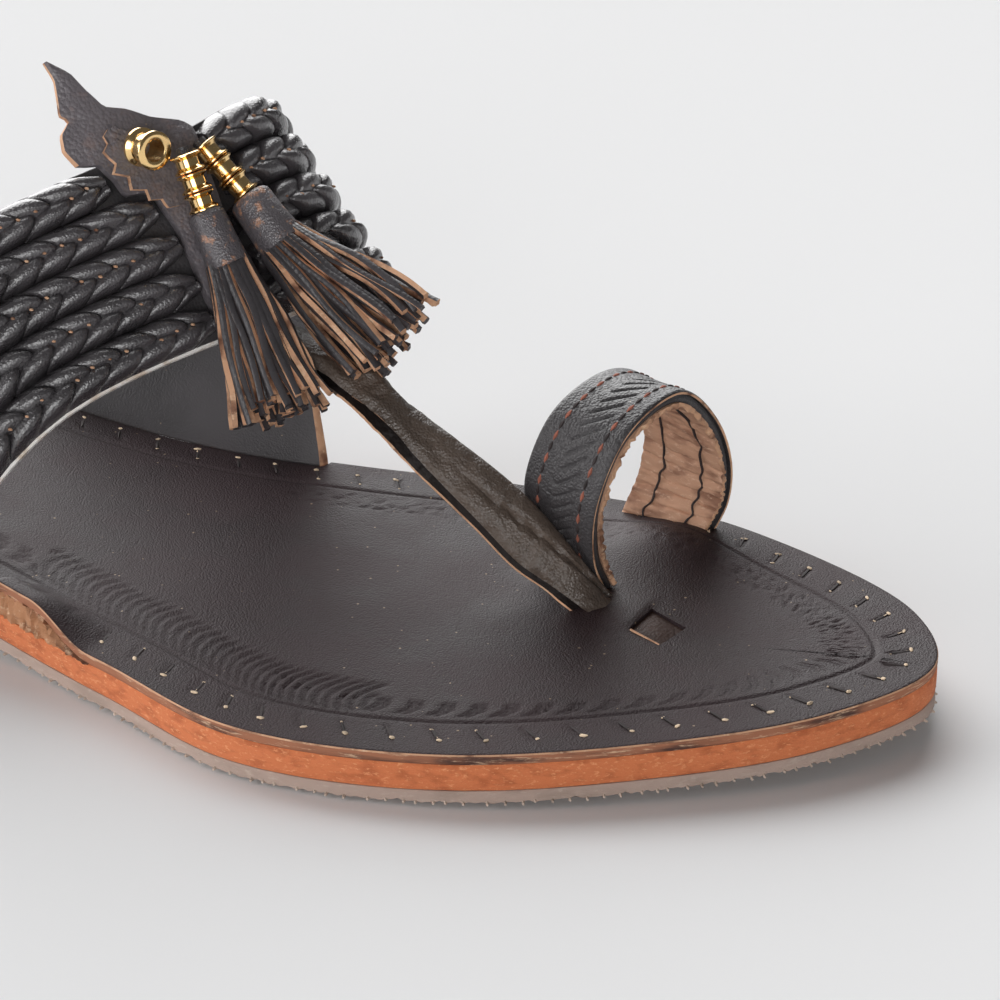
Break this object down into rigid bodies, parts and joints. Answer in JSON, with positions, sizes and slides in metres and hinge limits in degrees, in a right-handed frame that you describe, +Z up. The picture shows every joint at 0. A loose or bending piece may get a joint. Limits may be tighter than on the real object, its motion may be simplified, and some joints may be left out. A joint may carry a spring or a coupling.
{
  "type": "kolhapuri sandal",
  "caption": "Flat leather kolhapuri sandal for the right foot, with a plaited instep band, a crown patch with tassels, a toe thong and a big-toe loop.",
  "frame": {"origin": "bottom centre of the sandal's bounding box, on the ground it stands on", "axes": "+X from heel to toe, +Y to the medial side where the big toe is, +Z up"},
  "size_m": [0.2752, 0.1034, 0.0895],
  "materials": {
    "rubber": "matt grey-brown sheet rubber",
    "midsole_leather": "orange-tan cut leather edge, burnished",
    "insole_leather": "fine-grained dark brown leather with a low sheen",
    "black_leather": "black grain leather, half glossy",
    "thong_leather": "creased dark brown leather, half glossy",
    "raw_leather": "raw tan flesh side, matt and fibrous",
    "fringe_leather": "thin black strips with tan cut sides",
    "brass": "polished yellow brass"
  },
  "bodies": {
    "root": {"heel_lift": "rubber", "outsole": "rubber", "midsole": "midsole_leather", "insole": "insole_leather", "upper": "black_leather", "plait_lateral_1": "black_leather", "plait_medial_1": "black_leather", "plait_lateral_2": "black_leather", "plait_medial_2": "black_leather", "plait_lateral_3": "black_leather", "plait_medial_3": "black_leather", "plait_lateral_4": "black_leather", "plait_medial_4": "black_leather", "plait_lateral_5": "black_leather", "plait_medial_5": "black_leather", "crown_patch": "black_leather", "toe_thong": "thong_leather", "toe_loop": "black_leather", "toe_loop_lining": "raw_leather", "brass_ring": "brass", "tassel_1_spool_1": "brass", "tassel_1_spool_2": "brass", "tassel_1_spool_3": "brass", "tassel_1_cord": "black_leather", "tassel_1_cap": "black_leather", "tassel_1_fringe": "fringe_leather", "tassel_2_spool_1": "brass", "tassel_2_spool_2": "brass", "tassel_2_spool_3": "brass", "tassel_2_cord": "black_leather", "tassel_2_cap": "black_leather", "tassel_2_fringe": "fringe_leather"}
  },
  "joints": []
}
